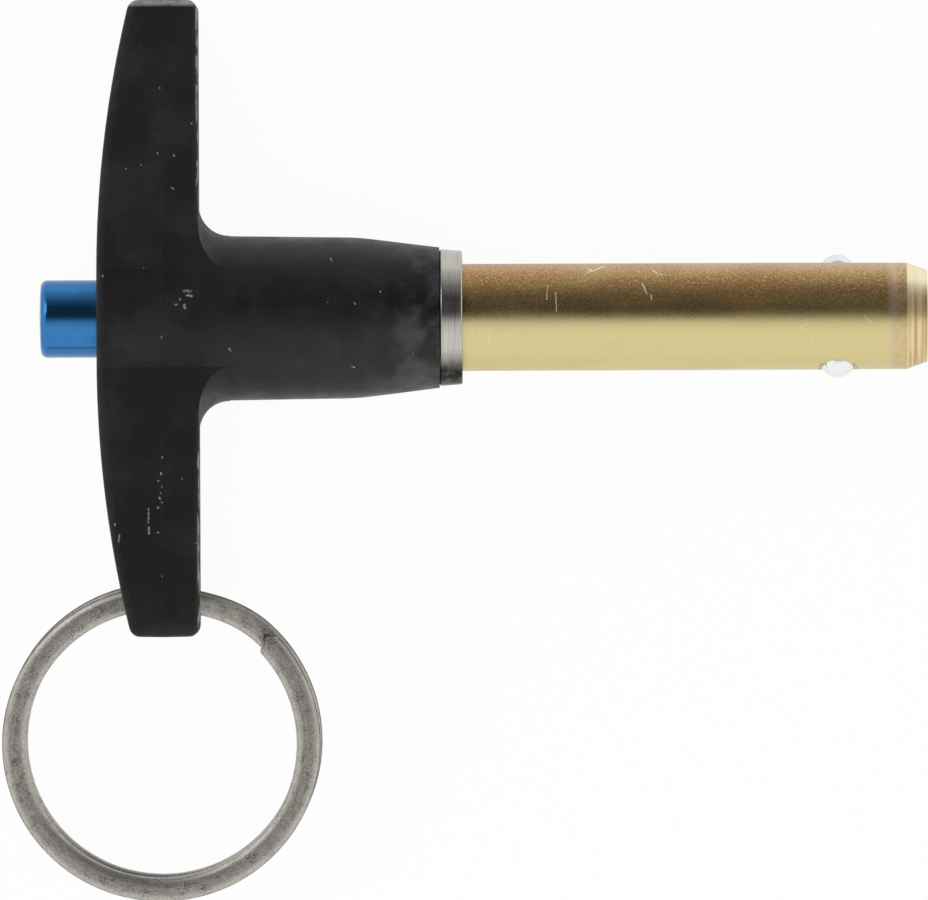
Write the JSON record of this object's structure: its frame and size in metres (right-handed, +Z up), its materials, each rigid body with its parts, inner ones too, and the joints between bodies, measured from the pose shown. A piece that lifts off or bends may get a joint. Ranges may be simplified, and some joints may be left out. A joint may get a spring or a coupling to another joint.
{
  "type": "ball lock pin",
  "caption": "Quick-release ball lock pin: hollow plated shank with two sprung-out locking balls, moulded T handle, blue push button and split ring.",
  "frame": {"origin": "on the pin's axis at the shoulder, the front face of the collar where the grip begins", "axes": "+X along the pin from the handle to the tip, +Y along the crossbar away from the split ring, +Z up with the pin lying on its side"},
  "size_m": [0.0824, 0.0802, 0.0148],
  "materials": {
    "handle_nylon": "satin",
    "chromated_steel": "satin",
    "bare_steel": "satin",
    "ball_steel": "polished",
    "blue_anodised": "satin",
    "ring_steel": "satin",
    "spring_steel": "satin"
  },
  "bodies": {
    "body": {"handle": "handle_nylon", "collar": "bare_steel", "shank": "chromated_steel", "return_spring": "spring_steel"},
    "plunger": {"spindle": "bare_steel", "button": "blue_anodised"},
    "ball_upper": {"ball_upper": "ball_steel"},
    "ball_lower": {"ball_lower": "ball_steel"},
    "ring": {"split_ring": "ring_steel"}
  },
  "joints": [
    {"name": "button_press", "type": "slide", "parent": "body", "child": "plunger", "axis": [1, 0, 0], "range_m": [0, 0.0038], "stiffness_N_per_m": 1000, "springref_m": -0.004, "deforming": ["return_spring"]},
    {"name": "ball_upper_retract", "type": "slide", "parent": "body", "child": "ball_upper", "axis": [0, -0.9636, 0.2672], "range_m": [0, 0.0009]},
    {"name": "ball_lower_retract", "type": "slide", "parent": "body", "child": "ball_lower", "axis": [0, 0.9636, -0.2672], "range_m": [0, 0.0009]},
    {"name": "ring_swing", "type": "hinge", "parent": "body", "child": "ring", "pos_m": [-0.02684, -0.0248, 0], "axis": [1, 0, 0], "range_deg": [-165, 149]}
  ],
  "couplings": [
    {"joint": "ball_upper_retract", "follows": "button_press", "ratio": 0.2368},
    {"joint": "ball_lower_retract", "follows": "button_press", "ratio": 0.2368}
  ]
}
